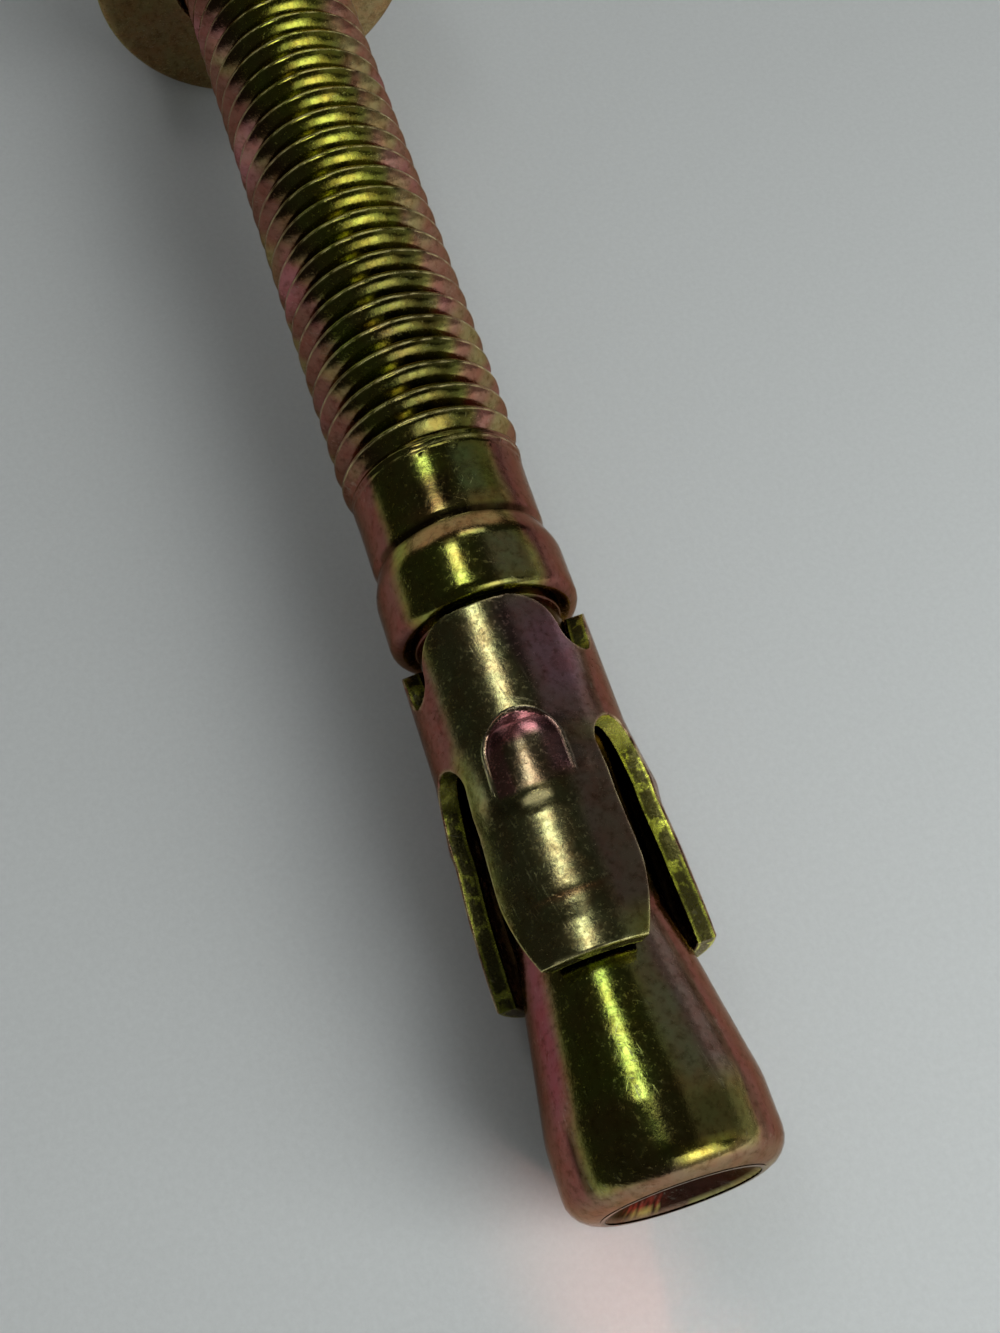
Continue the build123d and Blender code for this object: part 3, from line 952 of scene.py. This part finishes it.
def plated(name, roughness, grain, cut=False, arched=False, wear_and_highlight=False):
    """Yellow chromate on zinc: the mesh's broad tints, cloudy, with grain, scratches and specks.

    Cut edges of the sheet have a colour of their own, with painted highlights and painted shade.
    A pale lip follows the outline of each arch, as wear and painted highlight, and what is marked
    as wear and highlight is pale and less metallic.
    """
    material = bpy.data.materials.new(name)
    material.use_nodes = True
    tree = material.node_tree
    shader = tree.nodes["Principled BSDF"]
    shader.inputs["Metallic"].default_value = 0.8 if cut else 1.0
    shader.inputs["Specular Tint"].default_value = (*glancing_tint, 1)
    place_mm = object_place(tree)
    cloud = noise(tree, place_mm, 0.9, 4.0)
    stain = noise(tree, place_mm, 2.6, 5.0, 0.65)
    fine = noise(tree, place_mm, 6.0, 3.0, 0.7)
    if cut:
        colour = cut_edge_colour(tree, place_mm, cloud)
    else:
        tint = add(tree, "VertexColor", {"layer_name": "tint"}).outputs["Color"]
        colour = mixed(tree, ranged(tree, cloud, 0.4, 0.65), tint, cloud_colour, "MULTIPLY")
    colour = mixed(tree, ranged(tree, stain, 0.48, 0.72), colour, stain_colour, "MULTIPLY")

    marks = scratches(tree, place_mm, 12, 6.0, 0.64)
    marks = maths(tree, "MAXIMUM", marks, scratches(tree, place_mm, -35, 7.0, 0.65))
    marks = maths(tree, "MAXIMUM", marks, scratches(tree, place_mm, 62, 6.5, 0.65))
    specks = ranged(tree, noise(tree, place_mm, 8.0, 1.0), 0.79, 0.83)
    marks = maths(tree, "MAXIMUM", marks, specks)
    colour = mixed(tree, times(tree, marks, 0.15), colour, scratch_colour)

    dull = ranged(tree, stain, 0.35, 0.7, roughness - 0.04, roughness + 0.08)
    dull = maths(tree, "ADD", dull, times(tree, marks, 0.12))
    haze = ranged(tree, noise(tree, place_mm, 4.0, 4.0, 0.75), 0.54, 0.75, 0.0, 0.28)
    dull = maths(tree, "ADD", dull, haze)
    tree.links.new(dull, shader.inputs["Roughness"])

    relief = maths(tree, "ADD", times(tree, fine, 0.22), stain)
    relief = maths(tree, "SUBTRACT", relief, times(tree, marks, 0.25))
    relief = times(tree, relief, grain)
    if arched:
        inside, above = arch_edge(tree, place_mm)
        rising, falling = ranged(tree, inside, -0.14, -0.03), ranged(tree, inside, 0.0, -0.03)
        lip = times(tree, times(tree, rising, falling), above)
        relief = maths(tree, "ADD", relief, times(tree, lip, 0.03))
        # Pale lip along each arch's outline, broken up: wear and painted highlight
        lip_wear_and_highlight = times(tree, lip, ranged(tree, stain, 0.4, 0.55, 0.25, 0.9))
        colour = mixed(tree, lip_wear_and_highlight, colour, arch_lip_wear_and_highlight)
    if wear_and_highlight:
        # Pale and less metallic where marked: wear and painted highlight
        worn = add(tree, "Attribute", {"attribute_name": "wear_and_highlight"}).outputs["Fac"]
        colour = mixed(tree, times(tree, worn, 0.85), colour, wear_and_highlight_gold)
        metallic = maths(tree, "SUBTRACT", 1.0, times(tree, worn, 0.55))
        tree.links.new(metallic, shader.inputs["Metallic"])
        burr = noise(tree, place_mm, 14.0, 2.0)
        relief = maths(tree, "ADD", relief, times(tree, times(tree, burr, worn), 0.03))
    tree.links.new(colour, shader.inputs["Base Color"])
    bump = add(tree, "Bump", Height=relief, Strength=1.0, Distance=MM)
    tree.links.new(bump.outputs["Normal"], shader.inputs["Normal"])
    return material


stud = make_stud()
clip = make_clip()
washer = make_washer()
nut = make_nut()
for piece, node, slot, patches, roughness, grain in (
    (stud, "stud", "stud_plating", stud_patches, 0.13, 0.010),
    (clip, "expansion_clip", "clip_plating", clip_patches, 0.18, 0.010),
    (washer, "washer", "washer_plating", washer_patches, 0.2, 0.012),
    (nut, "nut", "nut_plating", (), 0.16, 0.010),
):
    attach(piece, node)
    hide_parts(node)
    paint(piece, patches)
    plating = plated(slot, roughness, grain, arched=piece is clip, wear_and_highlight=piece in (stud, clip))
    piece.data.materials.append(plating)
clip.data.materials.append(plated("clip_cut_edges", 0.24, 0.03, cut=True))


def make_floor():
    """Pale paper, far wider than the part."""
    half = floor_width / 2 * MM
    corners = [(-half, -half, 0), (half, -half, 0), (half, half, 0), (-half, half, 0)]
    mesh = bpy.data.meshes.new("floor")
    mesh.from_pydata(corners, [], [(0, 1, 2, 3)])
    floor = bpy.data.objects.new("floor", mesh)
    bpy.context.scene.collection.objects.link(floor)
    material = bpy.data.materials.new("paper")
    material.use_nodes = True
    tree = material.node_tree
    shader = tree.nodes["Principled BSDF"]
    shader.inputs["Roughness"].default_value = 0.85
    fibres = noise(tree, object_place(tree), 3.0, 5.0, 0.75)
    mottled = ranged(tree, fibres, 0.35, 0.65, 0.94, 1.0)
    colour = mixed(tree, 1.0, paper_colour, mottled, "MULTIPLY")
    tree.links.new(colour, shader.inputs["Base Color"])
    bump = add(tree, "Bump", Height=fibres, Strength=0.5, Distance=0.02 * MM)
    tree.links.new(bump.outputs["Normal"], shader.inputs["Normal"])
    mesh.materials.append(material)


def softbox(name, where, aim, size, radiance, colour=(1, 1, 1), mirrored=True, spread=180):
    """Rectangular lamp in millimetres, with its brightness as radiance.

    A lamp that isn't mirrored gives light and shadows, but metal doesn't show it.
    """
    lamp = bpy.data.lights.new(name, "AREA")
    lamp.shape = "RECTANGLE"
    lamp.size, lamp.size_y = size[0] * MM, size[1] * MM
    lamp.energy = radiance * pi * lamp.size * lamp.size_y
    lamp.color = colour
    lamp.spread = radians(spread)
    holder = bpy.data.objects.new(name, lamp)
    holder.location = Vector(where) * MM
    facing = Vector(aim) - Vector(where)
    holder.rotation_euler = facing.to_track_quat("-Z", "Y").to_euler()
    holder.visible_glossy = mirrored
    bpy.context.scene.collection.objects.link(holder)


make_floor()

# Lamps that metal shows: name, place, aim, size, radiance
for name, where, aim, size, radiance in (
    ("ceiling_strip", (-118, 125, 400), (-118, 125, 0), (72, 140), 3.1),
    ("ceiling_strip_end", (-118, 270, 400), (-118, 270, 0), (100, 150), 0.25),
    ("ceiling_strip_start", (-72, 25, 400), (-72, 25, 0), (40, 60), 0.9),
    ("far_panel", (95, 375, 400), (95, 375, 0), (210, 150), 1.3),
    ("front_window", (135, -410, 250), (0, 0, 0), (330, 280), 0.5),
    ("front_window_middle", (132, -400, 245), (0, 0, 0), (150, 150), 1.3),
    ("front_wall", (420, -700, 120), (0, 0, 40), (1100, 260), 0.18),
    ("far_wall", (0, 900, 260), (0, 0, 40), (1200, 420), 0.20),
    ("right_wall", (450, 0, 420), (0, 0, 60), (700, 600), 0.09),
    ("right_low_wall", (620, 0, 115), (0, 0, 115), (800, 200), 0.22),
):
    softbox(name, where, aim, size, radiance)

# Lamps for light and shadows only
softbox("window", (230, -200, 260), (0, 0, 0), (200, 200), 1.0, mirrored=False)
softbox("near_window", (114, -156, 102), (16, -54, 0), (165, 165), 4.3, mirrored=False)
softbox(
    "warm_glow", (20, -110, 40), (-3, -50.5, 0), (6, 6), 0.58,
    colour=(1, 0.42, 0.32), mirrored=False, spread=5,
)
sky = bpy.data.lights.new("sky", "SUN")
sky.energy = 0.36
sky.angle = radians(110)
sky_holder = bpy.data.objects.new("sky", sky)
sky_holder.visible_glossy = False
bpy.context.scene.collection.objects.link(sky_holder)

world = bpy.data.worlds.new("room")
world.use_nodes = True
background = world.node_tree.nodes["Background"]
background.inputs["Color"].default_value = (0.016, 0.016, 0.014, 1)
bpy.context.scene.world = world
bpy.context.scene.view_settings.view_transform = "Standard"

camera_place = Vector((-12.729, -57.797, 76.685)) * MM
camera_turn = (29.216, -0.847, -17.619)
camera_data = bpy.data.cameras.new("camera")
camera_data.sensor_fit = "HORIZONTAL"
camera_data.sensor_width = 36
camera_data.lens = 58.085
camera_data.clip_start = 0.005
camera_data.shift_x = -0.0015
camera = bpy.data.objects.new("camera", camera_data)
camera.location = camera_place
camera.rotation_euler = Euler([radians(turn) for turn in camera_turn], "XYZ")
bpy.context.scene.collection.objects.link(camera)
bpy.context.scene.camera = camera
